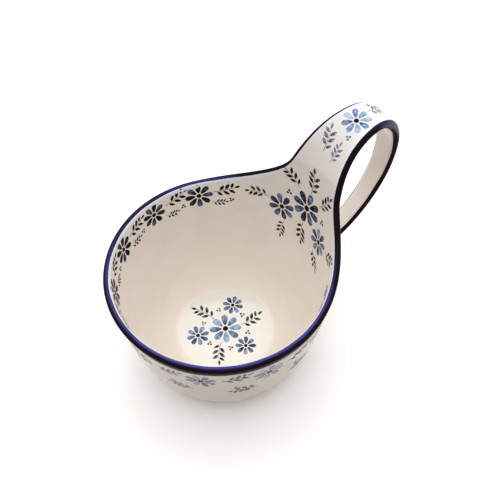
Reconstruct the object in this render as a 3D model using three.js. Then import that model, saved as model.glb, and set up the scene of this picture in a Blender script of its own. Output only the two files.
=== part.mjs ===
// Stoneware water scoop: a round bowl on a turned foot, whose rim rises at the back into a throat
// and rolls over into a loop handle that comes down to the outside of the wall.
// Millimetres, +Z up. The handle points along +X, and the object is mirrored about the plane y = 0.
// The origin is on the table, under the middle of the object's length.
import * as THREE from "three";

// Bowl
const RIM_RADIUS = 64.3; // outer radius at the lip
const RIM_HEIGHT = 74; // height of the lip round the front
const LIP_THICKNESS = 4.1; // wall at the lip and up the throat
const FLOOR_THICKNESS = 6.2;
const FLOOR_RADIUS = 28.5; // flat of the floor inside
const WALL_FLARE = 0.26; // outward lean of the wall at the lip, per millimetre of height
const BELLY_REACH = 20; // how far the wall swings out over the foot before it climbs
const HEEL_REACH = 26; // the same inside, from the flat of the floor

// Foot ring
const FOOT_RADIUS = 36;
const FOOT_WIDTH = 5.5;
const FOOT_HEIGHT = 3.4;
const FOOT_CHAMFER = 0.7;

// Throat, where the rim climbs to the strap
const SHOULDER_ANGLE = 69; // degrees off the handle at which the rim starts to rise
const THROAT_RISE = 27.2; // height of the throat's top, where the strap is luted on, above the lip
const THROAT_LEAD = 5; // height over which the throat's sides run on in line with the strap's edges
const SHOULDER_EASE = 0.76; // share of the way to the strap over which the rim lifts off its level

// Loop handle
const LOOP_RISE = 52.8; // crest of the loop above the lip
const LOOP_REACH = 58; // back of the loop behind the lip
const CREST_SETBACK = 34.3; // crest of the loop behind the lip
const BACK_DROP = 31; // furthest point of the loop below its crest
const TAIL_HEIGHT = 30.4; // where the strap's tail meets the wall, above the table
const STRAP_THICKNESS = 5.6;
const NECK_WIDTH = 37.2; // strap at the top of the throat
const TAIL_WIDTH = 10; // width that the strap narrows to
const NARROWING = 55; // length over which most of that narrowing happens
const PAD_WIDTH = 5; // what the tail gains in width where it spreads on the wall
const PAD_THICKNESS = 2.6; // and in thickness
const PAD_LENGTH = 16; // length over which it spreads

// Cobalt band that wraps the lip and the strap's edges. It ends with the nose inside the bowl and on the
// strap's upper face, and goes further down outside and underneath.
const LIP_BAND_DEPTH = 6.2; // down the outside of the bowl
const EDGE_BAND_DEPTH = 2.4; // in under the strap
const NOSE_SHARE = 0.8; // most of that depth that the rounded nose takes

// Layer of slip between two luted pieces
const SLIP = 0.3;

// How finely curves are divided
const FRONT_STEPS = 19; // along each side of the level rim
const SHOULDER_STEPS = 11; // along each rising side
const THROAT_STEPS = 3; // across half of the throat
const WALL_STEPS = 11; // up the wall
const LOOP_STEPS = 36; // along the strap
const NOSE_STEPS = 6; // round the nose of the band
const FOOT_SEGMENTS = 56;
const FOLLOW_FROM = 0.35; // share of the wall's rings above which they follow the rim's rise
const ARC_DIVISIONS = 400; // for measuring along the loop
const HALVINGS = 40; // for finding a radius at a height

const glaze = new THREE.MeshStandardMaterial({ color: "#efe6d8", roughness: 0.22, metalness: 0 });
const cobalt = new THREE.MeshStandardMaterial({ color: "#1c1a58", roughness: 0.18, metalness: 0 });
const bareClay = new THREE.MeshStandardMaterial({ color: "#d8c4a6", roughness: 0.85, metalness: 0 });

const BEND = 0.5523; // handle length of a cubic that follows a quarter of an ellipse
const underside = FOOT_HEIGHT + SLIP;
const floorTop = underside + FLOOR_THICKNESS;

const flat = (x, z) => new THREE.Vector2(x, z);
const lerp = THREE.MathUtils.lerp;

// Profiles of the bowl, as radius and height.
// Each leaves its flat level and reaches the lip at the wall's flare.
function wallProfile(flatRadius, flatHeight, reach, lipRadius) {
  const climb = (RIM_HEIGHT - flatHeight) / 2;
  return new THREE.CubicBezierCurve(
    flat(flatRadius, flatHeight),
    flat(flatRadius + reach, flatHeight),
    flat(lipRadius - WALL_FLARE * climb, RIM_HEIGHT - climb),
    flat(lipRadius, RIM_HEIGHT),
  );
}
const outerProfile = wallProfile(FOOT_RADIUS, underside, BELLY_REACH, RIM_RADIUS);
const innerProfile = wallProfile(FLOOR_RADIUS, floorTop, HEEL_REACH, RIM_RADIUS - LIP_THICKNESS);

// Radius of a profile at a height, carried on at the wall's flare above the lip.
function radiusAt(profile, z) {
  if (z >= RIM_HEIGHT) return profile.v3.x + WALL_FLARE * (z - RIM_HEIGHT);
  let low = 0;
  let high = 1;
  for (let halving = 0; halving < HALVINGS; halving++) {
    const middle = (low + high) / 2;
    if (profile.getPoint(middle).y < z) low = middle;
    else high = middle;
  }
  return profile.getPoint(low).x;
}

// Line of the strap's upper face in the plane y = 0: it leaves the throat's inside, goes over the crest and
// the back of the loop, and comes in square to the wall.
const wallLean = flat(WALL_FLARE, 1).normalize();
const neck = flat(radiusAt(innerProfile, RIM_HEIGHT + THROAT_RISE), RIM_HEIGHT + THROAT_RISE);
const crest = flat(RIM_RADIUS + CREST_SETBACK, RIM_HEIGHT + LOOP_RISE);
const back = flat(RIM_RADIUS + LOOP_REACH, crest.y - BACK_DROP);
const tail = flat(radiusAt(outerProfile, TAIL_HEIGHT) + SLIP, TAIL_HEIGHT);

const loop = new THREE.CurvePath();
loop.add(
  new THREE.CubicBezierCurve(
    neck,
    neck.clone().addScaledVector(wallLean, (crest.y - neck.y) * BEND),
    flat(lerp(crest.x, neck.x, BEND), crest.y),
    crest,
  ),
);
loop.add(
  new THREE.CubicBezierCurve(
    crest,
    flat(lerp(crest.x, back.x, BEND), crest.y),
    flat(back.x, lerp(back.y, crest.y, BEND)),
    back,
  ),
);
loop.add(
  new THREE.CubicBezierCurve(
    back,
    flat(back.x, lerp(back.y, tail.y, BEND)),
    flat(lerp(tail.x, back.x, BEND), tail.y),
    tail,
  ),
);
loop.arcLengthDivisions = ARC_DIVISIONS;
const loopLength = loop.getLength();

// How far the tail has spread into its pad, from 0 to 1, at a distance along the strap.
function padSpread(along) {
  return THREE.MathUtils.smoothstep(along, loopLength - PAD_LENGTH, loopLength);
}

function halfWidth(along) {
  const narrowing = Math.exp(-along / NARROWING);
  return (TAIL_WIDTH + (NECK_WIDTH - TAIL_WIDTH) * narrowing + PAD_WIDTH * padSpread(along)) / 2;
}

function strapThickness(along) {
  const thickening = THREE.MathUtils.smoothstep(along, 0, NARROWING);
  return lerp(LIP_THICKNESS, STRAP_THICKNESS, thickening) + PAD_THICKNESS * padSpread(along);
}

// A point in the strap: a distance along it, across it, and down from its upper face.
// The upper face carries the round of the wall at the neck and flattens over the crest.
function strapPoint(along, across, down) {
  const share = THREE.MathUtils.clamp(along / loopLength, 0, 1);
  const at = loop.getPointAt(share);
  const heading = loop.getTangentAt(share);
  const upper = flat(-heading.y, heading.x);
  const roundness = Math.exp(-along / NARROWING) / neck.x;
  const dish = (across * across * roundness) / 2;
  at.addScaledVector(upper, dish - down);
  return new THREE.Vector3(at.x, across, at.y);
}

// Skins a row of closed loops that hold the same even number of points. The first half of a loop runs along
// one face and the second half comes back along the other, so a strip between the halves closes each end.
function skin(loops) {
  const size = loops[0].length;
  const positions = loops.flat().flatMap((p) => [p.x, p.y, p.z]);
  const triangles = [];
  for (let row = 0; row + 1 < loops.length; row++) {
    for (let i = 0; i < size; i++) {
      const a = row * size + i;
      const b = row * size + ((i + 1) % size);
      triangles.push(a, b, a + size, b, b + size, a + size);
    }
  }
  const last = (loops.length - 1) * size;
  for (let i = 0; i + 1 < size / 2; i++) {
    const mate = size - 1 - i;
    triangles.push(i, mate, i + 1, i + 1, mate, mate - 1);
    triangles.push(last + i, last + i + 1, last + mate, last + i + 1, last + mate - 1, last + mate);
  }
  const geometry = new THREE.BufferGeometry();
  geometry.setAttribute("position", new THREE.Float32BufferAttribute(positions, 3));
  geometry.setIndex(volumeOf(positions, triangles) < 0 ? triangles.reverse() : triangles);
  geometry.computeVertexNormals();
  return geometry;
}

// Signed volume of a closed surface, negative where its faces point inwards.
function volumeOf(positions, triangles) {
  const corner = (i) => new THREE.Vector3().fromArray(positions, triangles[i] * 3);
  let total = 0;
  for (let i = 0; i < triangles.length; i += 3) {
    total += corner(i).dot(corner(i + 1).cross(corner(i + 2))) / 6;
  }
  return total;
}

// Stations of the rim on the +Y side, from the top of the throat round to the front. Each has the point at
// the middle of the lip's crest, the outward normal of the wall, the way to the edge within the wall, and how
// far down the outside the band goes.
const middleRadius = RIM_RADIUS - LIP_THICKNESS / 2;
const wallTilt = Math.atan(WALL_FLARE);

function rimPoint(angle, rise) {
  const radius = middleRadius + WALL_FLARE * rise;
  return new THREE.Vector3(radius * Math.cos(angle), radius * Math.sin(angle), RIM_HEIGHT + rise);
}

function rimLine() {
  const neckHalf = halfWidth(0);
  const neckRadius = middleRadius + WALL_FLARE * THROAT_RISE;
  const neckAngle = Math.asin(neckHalf / neckRadius);
  const shoulder = THREE.MathUtils.degToRad(SHOULDER_ANGLE);
  const converging = (NECK_WIDTH - TAIL_WIDTH) / 2 / NARROWING;
  const side = new THREE.CubicBezierCurve(
    flat(neckAngle, THROAT_RISE),
    flat(neckAngle + (converging * THROAT_LEAD) / neckRadius, THROAT_RISE - THROAT_LEAD),
    flat(lerp(shoulder, neckAngle, SHOULDER_EASE), 0),
    flat(shoulder, 0),
  );
  const places = side.getPoints(SHOULDER_STEPS);
  for (let step = 1; step <= FRONT_STEPS; step++) {
    places.push(flat(lerp(shoulder, Math.PI, step / FRONT_STEPS), 0));
  }
  const points = places.map((place) => rimPoint(place.x, place.y));
  return points.map((point, i) => {
    if (i === 0) return neckStation(neckHalf);
    const ahead = points[Math.min(i + 1, points.length - 1)];
    const heading = i + 1 < points.length ? ahead.clone().sub(points[i - 1]) : new THREE.Vector3(0, -1, 0);
    heading.normalize();
    const angle = places[i].x;
    const normal = new THREE.Vector3(
      Math.cos(angle) * Math.cos(wallTilt),
      Math.sin(angle) * Math.cos(wallTilt),
      -Math.sin(wallTilt),
    );
    const edge = new THREE.Vector3().crossVectors(normal, heading).normalize();
    const depth = lerp(EDGE_BAND_DEPTH, LIP_BAND_DEPTH, Math.min(i / SHOULDER_STEPS, 1));
    return { point, normal, edge, depth };
  });
}

// The rim's last station lies in the plane that the strap is luted on, square to the throat.
function neckStation(neckHalf) {
  return {
    point: strapPoint(0, neckHalf, LIP_THICKNESS / 2),
    normal: new THREE.Vector3(wallLean.y, 0, -wallLean.x),
    edge: new THREE.Vector3(0, 1, 0),
    depth: EDGE_BAND_DEPTH,
  };
}

const rimHalf = rimLine();
const mirrored = (v) => new THREE.Vector3(v.x, -v.y, v.z);
const rimStations = [
  ...rimHalf,
  ...rimHalf
    .slice(0, -1)
    .reverse()
    .map((s) => ({ ...s, point: mirrored(s.point), normal: mirrored(s.normal), edge: mirrored(s.edge) })),
];

// How far the rounded nose of the band reaches in from its tip.
function noseReach(depth, thickness) {
  return Math.min(thickness / 2, depth * NOSE_SHARE);
}

// Section of the cobalt band: round at its nose, with a slanted seat on the clay. The function given turns a
// distance from the nose's tip and a share of the thickness, -0.5 to 0.5, into a point. The points run from
// the inner side to the outer, so that the seat is cut into triangles along the same lines as the clay's.
function bandSection(depth, thickness, place) {
  const section = [];
  const nose = noseReach(depth, thickness);
  for (let step = 0; step <= NOSE_STEPS; step++) {
    const turn = (Math.PI * step) / NOSE_STEPS;
    section.push(place(nose * (1 - Math.sin(turn)), -Math.cos(turn) / 2));
  }
  section.push(place(depth, 0.5));
  return section;
}

// A point in the lip: a station of the rim, a distance in from the tip, and a share of the thickness.
function lipPoint(station, fromTip, through) {
  return station.point
    .clone()
    .addScaledVector(station.edge, -fromTip)
    .addScaledVector(station.normal, through * LIP_THICKNESS);
}

function makeRimBand() {
  return skin(
    rimStations.map((station) =>
      bandSection(station.depth, LIP_THICKNESS, (fromTip, through) => lipPoint(station, fromTip, through)),
    ),
  );
}

// Seats of the band and of the strap on the bowl's wall: a closed row of pairs of points, outside and inside.
function wallSeats() {
  const throat = [];
  const neckHalf = halfWidth(0);
  const outerHalf = neckHalf - EDGE_BAND_DEPTH - SLIP;
  const innerHalf = neckHalf - noseReach(EDGE_BAND_DEPTH, LIP_THICKNESS) - SLIP;
  for (let step = 0; step < THROAT_STEPS; step++) {
    const share = step / THROAT_STEPS;
    throat.push([strapPoint(0, outerHalf * share, LIP_THICKNESS), strapPoint(0, innerHalf * share, 0)]);
  }
  const rim = rimHalf.map((station) => [
    lipPoint(station, station.depth + SLIP, 0.5),
    lipPoint(station, noseReach(station.depth, LIP_THICKNESS) + SLIP, -0.5),
  ]);
  const half = [...throat, ...rim];
  const other = half.slice(1, -1).reverse();
  return [...half, ...other.map((pair) => pair.map(mirrored))];
}

// One side of the wall as rings of points, from its flat level up to a row of seats.
// The upper rings follow the rise of the rim, and every point stays on the profile turned round the axis.
function wallRings(profile, seats) {
  const level = Math.min(...seats.map((seat) => seat.z));
  const rings = [];
  for (let step = 0; step < WALL_STEPS; step++) {
    const share = step / WALL_STEPS;
    const height = Math.min(profile.getPoint(share).y, level);
    const follow = THREE.MathUtils.smoothstep(share, FOLLOW_FROM, 1);
    rings.push(
      seats.map((seat) => {
        const angle = Math.atan2(seat.y, seat.x);
        const z = height + (seat.z - level) * follow;
        const radius = step === 0 ? profile.v0.x : radiusAt(profile, z);
        return new THREE.Vector3(radius * Math.cos(angle), radius * Math.sin(angle), z);
      }),
    );
  }
  return [...rings, seats];
}

function makeBowl() {
  const seats = wallSeats();
  const outside = wallRings(outerProfile, seats.map((pair) => pair[0]));
  const inside = wallRings(innerProfile, seats.map((pair) => pair[1]));
  return skin([...outside, ...inside.reverse()]);
}

function makeFootRing() {
  const inner = FOOT_RADIUS - FOOT_WIDTH;
  const profile = [
    flat(inner + FOOT_CHAMFER, 0),
    flat(FOOT_RADIUS - FOOT_CHAMFER, 0),
    flat(FOOT_RADIUS, FOOT_CHAMFER),
    flat(FOOT_RADIUS, FOOT_HEIGHT),
    flat(inner, FOOT_HEIGHT),
    flat(inner, FOOT_CHAMFER),
    flat(inner + FOOT_CHAMFER, 0),
  ];
  return new THREE.LatheGeometry(profile, FOOT_SEGMENTS).rotateX(Math.PI / 2);
}

// Moves a point of the tail's end along X until it lies on the wall.
function ontoWall(point) {
  const radius = radiusAt(outerProfile, point.z) + SLIP;
  point.x = Math.sqrt(radius * radius - point.y * point.y);
  return point;
}

// Stations along the strap, from the slip on the throat to the wall.
function strapStations(sectionAt) {
  const sections = [];
  for (let step = 0; step <= LOOP_STEPS; step++) {
    const along = lerp(SLIP, loopLength, step / LOOP_STEPS);
    const section = sectionAt(along);
    sections.push(step === LOOP_STEPS ? section.map(ontoWall) : section);
  }
  return sections;
}

function makeStrap() {
  const steps = THROAT_STEPS * 2;
  return skin(
    strapStations((along) => {
      const thickness = strapThickness(along);
      const upperHalf = halfWidth(along) - noseReach(EDGE_BAND_DEPTH, thickness) - SLIP;
      const underHalf = halfWidth(along) - EDGE_BAND_DEPTH - SLIP;
      const shares = Array.from({ length: steps + 1 }, (_, i) => lerp(-1, 1, i / steps));
      const upper = shares.map((share) => strapPoint(along, upperHalf * share, 0));
      const under = shares.map((share) => strapPoint(along, underHalf * share, thickness));
      return [...upper, ...under.reverse()];
    }),
  );
}

function makeStrapBand(side) {
  return skin(
    strapStations((along) => {
      const half = halfWidth(along);
      const thickness = strapThickness(along);
      return bandSection(EDGE_BAND_DEPTH, thickness, (fromTip, through) =>
        strapPoint(along, side * (half - fromTip), thickness * (0.5 + through)),
      );
    }),
  );
}

function named(name, geometry, material) {
  const mesh = new THREE.Mesh(geometry, material);
  mesh.name = name;
  return mesh;
}

const bowl = new THREE.Group();
bowl.add(named("bowl_body", makeBowl(), glaze));
bowl.add(named("foot_ring", makeFootRing(), bareClay));
bowl.add(named("rim_band", makeRimBand(), cobalt));

const handle = new THREE.Group();
handle.add(named("handle_strap", makeStrap(), glaze));
handle.add(named("strap_band_left", makeStrapBand(1), cobalt));
handle.add(named("strap_band_right", makeStrapBand(-1), cobalt));

const scoop = new THREE.Group();
scoop.add(bowl, handle);
const extent = new THREE.Box3().setFromObject(scoop);
bowl.position.x = -(extent.min.x + extent.max.x) / 2;
handle.position.x = bowl.position.x;

export default scoop;
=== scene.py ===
"""Looks of a stoneware water scoop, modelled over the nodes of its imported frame.

The bowl, its foot, the loop handle and the cobalt edge are clay under glaze, and a folk pattern of daisies
and twigs is painted on them. Sizes are in millimetres from the bowl's axis, and become metres where points
are set.
"""
import logging
import math
import random
from bisect import bisect_left
from collections.abc import Callable, Sequence
from dataclasses import dataclass, replace
from enum import Enum
from functools import cached_property, partial

import bmesh
import bpy
from mathutils import Matrix, Vector


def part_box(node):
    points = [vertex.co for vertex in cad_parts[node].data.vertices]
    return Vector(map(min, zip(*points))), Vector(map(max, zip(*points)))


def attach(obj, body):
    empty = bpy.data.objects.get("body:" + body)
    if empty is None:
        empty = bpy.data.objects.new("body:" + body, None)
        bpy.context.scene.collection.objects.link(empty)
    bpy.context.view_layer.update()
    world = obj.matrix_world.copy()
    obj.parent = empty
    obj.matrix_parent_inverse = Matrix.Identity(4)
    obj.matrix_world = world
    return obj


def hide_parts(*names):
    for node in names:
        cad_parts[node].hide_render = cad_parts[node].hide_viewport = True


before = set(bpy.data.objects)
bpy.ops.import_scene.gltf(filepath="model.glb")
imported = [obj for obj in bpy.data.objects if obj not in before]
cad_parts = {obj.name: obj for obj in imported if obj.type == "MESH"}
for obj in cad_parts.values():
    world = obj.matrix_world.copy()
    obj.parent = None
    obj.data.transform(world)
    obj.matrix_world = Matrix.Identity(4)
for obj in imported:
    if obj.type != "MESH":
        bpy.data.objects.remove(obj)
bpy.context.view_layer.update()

BODY = "root"
MM = 0.001
BEND = 0.5523  # handle length of a cubic that follows a quarter of an ellipse
SMOOTH_UNDER = math.radians(40)
UP = Vector((0.0, 0.0, 1.0))
ACROSS = Vector((0.0, 1.0, 0.0))
OUTER_DRIFT = 0.22  # how far the hand-drawn ends of the cobalt drift outside
INNER_DRIFT = 0.12  # and inside
DRIFT_WAVES = ((0.5, 7.3, 0.4), (0.3, 3.1, 1.9), (0.4, 17.0, 2.6))  # height, length and lead of each

Ring = list[Vector]
Marks = dict[str, list[list[float]]]  # values on the points, ring by ring, under each name
Row = tuple[float, float]
Placed = tuple[Vector, Vector]  # a point of a surface, and the way out of it
Canvas = Callable[[float, float], Placed]  # finds a flat place on a surface that is painted
Colour = tuple[float, float, float, float]
log = logging.getLogger("water_scoop")


def bowl_axis() -> Vector:
    """Returns the foot of the bowl's axis in the frame, in metres, from the middle of the foot ring."""
    low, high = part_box("foot_ring")
    return Vector(((low.x + high.x) / 2, (low.y + high.y) / 2, 0.0))


AXIS = bowl_axis()


def mix(low: float, high: float, share: float) -> float:
    """Returns the value a share of the way from low to high."""
    return low + (high - low) * share


def eased(value: float, low: float, high: float) -> float:
    """Returns 0 below low, 1 above high, and a smooth step between them."""
    share = min(max((value - low) / (high - low), 0.0), 1.0)
    return share * share * (3.0 - 2.0 * share)


def neighbours(rows: Sequence[Row], key: float) -> tuple[Row, Row]:
    """Returns the two rows of a sorted table that a key lies between, or the two at its end."""
    number = min(max(bisect_left(rows, (key,)), 1), len(rows) - 1)
    return rows[number - 1], rows[number]


def mirrored(point: Vector) -> Vector:
    """Returns the point on the other side of the plane through the bowl's axis and the handle."""
    return Vector((point.x, -point.y, point.z))


def in_frame(point: Vector) -> Vector:
    """Returns a point given in millimetres from the bowl's axis in the frame's metres."""
    return AXIS + point * MM


def drift(along: float) -> float:
    """Returns how far a hand-drawn line is off, about -1 to 1, at a distance along the edge."""
    return sum(height * math.sin(along / length + lead) for height, length, lead in DRIFT_WAVES)


class End(Enum):
    """How the two ends of a skin are closed."""

    POLE = "drawn in to a point"
    CAP = "filled with a face"


class Side(Enum):
    """Which face of the bowl's wall is meant, as the way that its normal points."""

    INSIDE = -1
    OUTSIDE = 1


def close_end(row: Sequence[bmesh.types.BMVert], shell: bmesh.types.BMesh, end: End) -> None:
    """Closes one end of a skin in edit mode.

    Args:
        row: Points of the end's ring.
        shell: The mesh in edit mode.
        end: How the ring is closed.
    """
    bpy.ops.mesh.select_all(action="DESELECT")
    for point in row:
        point.select = True
    shell.select_flush(True)
    if end is End.POLE:
        bpy.ops.mesh.merge(type="CENTER")
    else:
        bpy.ops.mesh.edge_face_add()


def skin(name: str, rings: Sequence[Ring], end: End, marks: Marks) -> bpy.types.Object:
    """Models a closed piece by drawing a circle out ring by ring.

    Args:
        name: Name of the piece.
        rings: Rings of points in millimetres, all with the same count.
        end: How the first and the last ring are closed.
        marks: Values to keep on the points.

    Returns:
        The finished object, shaded smooth.
    """
    bpy.ops.object.select_all(action="DESELECT")
    bpy.ops.mesh.primitive_circle_add(
        vertices=len(rings[0]), radius=MM, fill_type="NOTHING", calc_uvs=False, enter_editmode=True
    )
    piece = bpy.context.object
    piece.name = piece.data.name = name
    shell = bmesh.from_edit_mesh(piece.data)
    layers = {key: shell.verts.layers.float.new(key) for key in marks}
    row = list(shell.verts)
    first = row
    for number, ring in enumerate(rings):
        if number:
            bpy.ops.mesh.extrude_edges_move()
            row = [next(e.other_vert(v) for e in v.link_edges if e.other_vert(v).select) for v in row]
        for place, (vertex, point) in enumerate(zip(row, ring)):
            vertex.co = in_frame(point)
            for key, layer in layers.items():
                vertex[layer] = marks[key][number][place]
    close_end(row, shell, end)
    close_end(first, shell, end)
    bpy.ops.mesh.select_all(action="SELECT")
    bpy.ops.mesh.normals_make_consistent(inside=False)
    bpy.ops.object.mode_set(mode="OBJECT")
    bpy.ops.object.origin_set(type="ORIGIN_CURSOR")
    bpy.ops.object.shade_smooth_by_angle(angle=SMOOTH_UNDER)
    return piece


def moved_copy(model: bpy.types.Object, place: Matrix) -> bpy.types.Object:
    """Copies a flat model.

    Args:
        model: The model.
        place: Where the copy goes.

    Returns:
        The copy, with a mesh of its own.
    """
    twin = bpy.data.objects.new(model.name, model.data.copy())
    twin.data.transform(place)
    bpy.context.scene.collection.objects.link(twin)
    return twin


def joined(name: str, parts: Sequence[bpy.types.Object]) -> bpy.types.Object:
    """Joins parts into one piece.

    Args:
        name: Name of the piece.
        parts: The parts, of which the first takes in the others.

    Returns:
        The piece.
    """
    bpy.ops.object.select_all(action="DESELECT")
    for part in parts:
        part.select_set(True)
    bpy.context.view_layer.objects.active = parts[0]
    bpy.ops.object.join()
    parts[0].name = parts[0].data.name = name
    return parts[0]


def dress(piece: bpy.types.Object, material: bpy.types.Material, slot: str, *nodes: str) -> None:
    """Gives a piece its material, hangs it on the body and hides the frame's nodes that it stands for.

    Args:
        piece: The finished piece.
        material: Its material.
        slot: Not used.
        nodes: Nodes of the frame that it stands for.
    """
    piece.data.materials.clear()
    piece.data.materials.append(material)
    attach(piece, BODY)
    if nodes:
        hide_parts(*nodes)
    log.info("%s: %d faces", piece.name, len(piece.data.polygons))


@dataclass(frozen=True)
class Cubic:
    """A cubic curve in a plane: where it starts, leaves towards, arrives from and ends."""

    start: Vector
    leaving: Vector
    arriving: Vector
    end: Vector

    def at(self, share: float) -> Vector:
        """Finds a point of the curve.

        Args:
            share: Share of the curve, from 0 to 1.

        Returns:
            The point there.
        """
        rest = 1.0 - share
        near = self.start * rest**3 + self.leaving * (3.0 * rest * rest * share)
        far = self.arriving * (3.0 * rest * share * share) + self.end * share**3
        return near + far

    def heading(self, share: float) -> Vector:
        """Finds the way that the curve runs.

        Args:
            share: Share of the curve, from 0 to 1.

        Returns:
            The way there, as a unit vector.
        """
        rest = 1.0 - share
        near = (self.leaving - self.start) * (rest * rest)
        middle = (self.arriving - self.leaving) * (2.0 * rest * share)
        return (near + middle + (self.end - self.arriving) * (share * share)).normalized()


@dataclass(frozen=True)
class WallFace:
    """One face of the bowl's wall: a curve of radius and height, turned round the bowl's axis."""

    curve: Cubic
    flare: float
    bend: float
    bend_from: float
    side: Side
    halvings: int = 40
    samples: int = 240

    def spread(self, rise: float) -> float:
        """Returns how far out the face goes up to a rise above the lip."""
        return self.flare * rise + self.bend * max(rise - self.bend_from, 0.0) ** 3

    def lean(self, rise: float) -> float:
        """Returns how far out the face goes for each millimetre up, at a rise above the lip."""
        return self.flare + 3.0 * self.bend * max(rise - self.bend_from, 0.0) ** 2

    def share_at(self, height: float) -> float:
        """Finds where the curve reaches a height, by halving.

        Args:
            height: The height.

        Returns:
            The share of the curve.
        """
        low, high = 0.0, 1.0
        for _ in range(self.halvings):
            middle = (low + high) / 2
            if self.curve.at(middle).y < height:
                low = middle
            else:
                high = middle
        return low

    def radius_at(self, height: float) -> float:
        """Finds the radius of the face, carried on above the lip.

        Args:
            height: The height.

        Returns:
            The radius there.
        """
        lip = self.curve.end
        if height >= lip.y:
            return lip.x + self.spread(height - lip.y)
        return self.curve.at(self.share_at(height)).x

    def point(self, angle: float, height: float) -> Vector:
        """Returns the point at an angle off the handle, in radians, and a height."""
        radius = self.radius_at(height)
        return Vector((radius * math.cos(angle), radius * math.sin(angle), height))

    def normal(self, angle: float, height: float) -> Vector:
        """Finds the way out of the face.

        Args:
            angle: Angle off the handle, in radians.
            height: The height.

        Returns:
            The way out there, as a unit vector.
        """
        rise = height - self.curve.end.y
        if rise < 0.0:
            run = self.curve.heading(self.share_at(height))
        else:
            run = Vector((self.lean(rise), 1.0)).normalized()
        return Vector((run.y * math.cos(angle), run.y * math.sin(angle), -run.x)) * self.side.value

    @cached_property
    def descent(self) -> list[Row]:
        """Distances down the face from the lip, each with its height."""
        rows = [(0.0, self.curve.end.y)]
        last = self.curve.end
        for step in range(self.samples - 1, -1, -1):
            here = self.curve.at(step / self.samples)
            rows.append((rows[-1][0] + (here - last).length, here.y))
            last = here
        return rows

    def height_below_lip(self, drop: float) -> float:
        """Finds the height at a distance down the face.

        Args:
            drop: Distance down from the lip, negative above it.

        Returns:
            The height there.
        """
        if drop <= 0.0:
            return self.curve.end.y - drop / math.hypot(1.0, self.flare)
        (near, top), (far, bottom) = neighbours(self.descent, drop)
        return mix(top, bottom, min((drop - near) / (far - near), 1.0))

    def lay(self, angle: float, drop: float, u: float, v: float) -> Placed:
        """Finds a place on the face, as it is when it is unrolled round a middle.

        Args:
            angle: Angle of the middle off the handle.
            drop: Distance of the middle down from the lip.
            u: Distance from there along the rim.
            v: Distance from there up the wall.

        Returns:
            The point, and the way out of the face.
        """
        radius = self.radius_at(self.height_below_lip(drop))
        turned = angle + self.side.value * u / radius
        height = self.height_below_lip(drop - v)
        return self.point(turned, height), self.normal(turned, height)


@dataclass(frozen=True)
class EdgeStation:
    """A place on the scoop's edge, where the cobalt wraps the clay."""

    tip: Vector  # foremost point of the rounded edge, in the middle of the wall
    out: Vector  # way out of the bowl, or of the strap's under face
    way: Vector  # way to the tip within the wall
    thickness: float
    nose: float  # how far the rounding reaches in from the tip
    along: float  # distance along the edge from the front, negative on the far side
    cover_out: float  # how far the cobalt goes down the outside
    cover_in: float  # how far it goes down inside
    stroke: float = 1.0  # share of that which is left where the brush was lifted

    def place(self, from_tip: float, through: float) -> Vector:
        """Returns the point at a distance in from the tip and a share of the thickness, -0.5 to 0.5."""
        return self.tip - self.way * from_tip + self.out * (through * self.thickness)

    def rounding(self, turn: float) -> Vector:
        """Returns a point of the rounded edge, from 0 outside to pi inside."""
        return self.place(self.nose * (1.0 - math.sin(turn)), math.cos(turn) / 2)

    @property
    def first_turn(self) -> float:
        """Turn of the rounding at which the cobalt starts outside, 0 where it starts below the rounding."""
        return math.asin(max(1.0 - self.stroke * self.cover_out / self.nose, 0.0))

    @property
    def last_turn(self) -> float:
        """Turn of the rounding at which the cobalt ends inside."""
        return math.pi - math.asin(max(1.0 - self.stroke * self.cover_in / self.nose, 0.0))

    @property
    def seat(self) -> Vector:
        """The cobalt's outer end, on the outer face or on the rounding."""
        return self.rounding(self.first_turn) if self.first_turn else self.place(self.cover_out, 0.5)

    def cobalt(self, steps: int) -> Ring:
        """Draws the cobalt's section.

        Args:
            steps: Steps round the rounding.

        Returns:
            The section's points, from its outer end over the tip to its inner end.
        """
        passed = 1 if self.first_turn else 0  # a seat on the rounding is its first step already
        shares = ((step + passed) / (steps + passed) for step in range(steps + 1))
        return [self.seat] + [self.rounding(mix(self.first_turn, self.last_turn, share)) for share in shares]

    def hem(self, steps: int) -> Ring:
        """Returns the clay's part of the rounding outside, from the cobalt's end to the outer face."""
        return [self.rounding(self.first_turn * (1.0 - step / steps)) for step in range(steps + 1)]

    def clay(self, steps: int) -> Ring:
        """Returns the clay's part of the rounding inside, from the cobalt's end to the inner face."""
        turns = (mix(self.last_turn, math.pi, step / steps) for step in range(steps + 1))
        return [self.rounding(turn) for turn in turns]

    def other_side(self) -> "EdgeStation":
        """Mirrors the station across the plane of symmetry.

        Returns:
            The station there, with hand-drawn ends of its own.
        """
        shift = drift(-self.along) - drift(self.along)
        return replace(
            self,
            tip=mirrored(self.tip),
            out=mirrored(self.out),
            way=mirrored(self.way),
            along=-self.along,
            cover_out=self.cover_out + shift * OUTER_DRIFT,
            cover_in=self.cover_in + shift * INNER_DRIFT,
        )


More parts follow.
